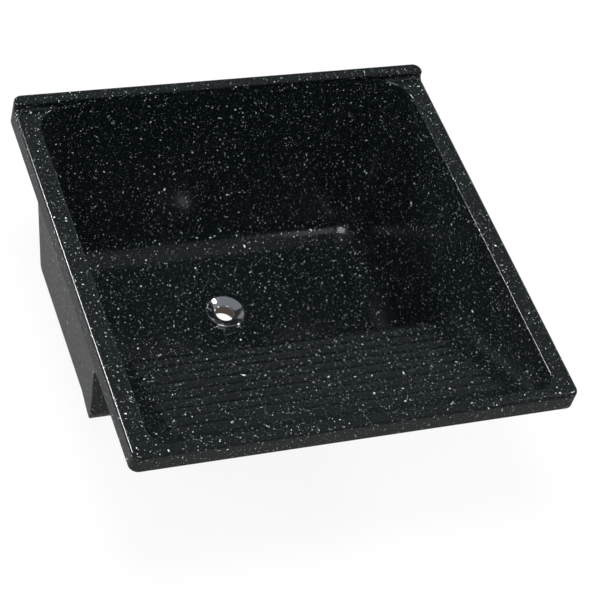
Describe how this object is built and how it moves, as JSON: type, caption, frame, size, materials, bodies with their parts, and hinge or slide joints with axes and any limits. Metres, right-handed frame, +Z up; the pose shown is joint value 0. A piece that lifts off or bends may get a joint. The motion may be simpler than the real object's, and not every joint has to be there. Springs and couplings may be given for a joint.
{
  "type": "laundry tub",
  "caption": "Deep square laundry tub with a flat rim, down-turned skirt, low back upstand, ribbed washboard in the bowl and a flanged waste in the floor.",
  "frame": {"origin": "middle of the rim in plan, on the plane of the skirt's lower edge, which is what the tub sits on; the bowl hangs below it", "axes": "+X to the user's right, +Y to the wall side with the upstand, +Z up"},
  "size_m": [0.6, 0.6, 0.3085],
  "materials": {
    "cast_polymer": "glossy black cast polymer with fine white flecks",
    "plated_brass": "bright chrome plating",
    "seal_rubber": "matt black rubber",
    "washer_plastic": "matt off-white plastic",
    "nut_plastic": "moulded grey plastic"
  },
  "bodies": {
    "root": {"tub": "cast_polymer", "waste_flange": "plated_brass", "flange_seal": "seal_rubber", "floor_seal": "seal_rubber", "slip_washer": "washer_plastic", "back_nut": "nut_plastic"}
  },
  "joints": []
}
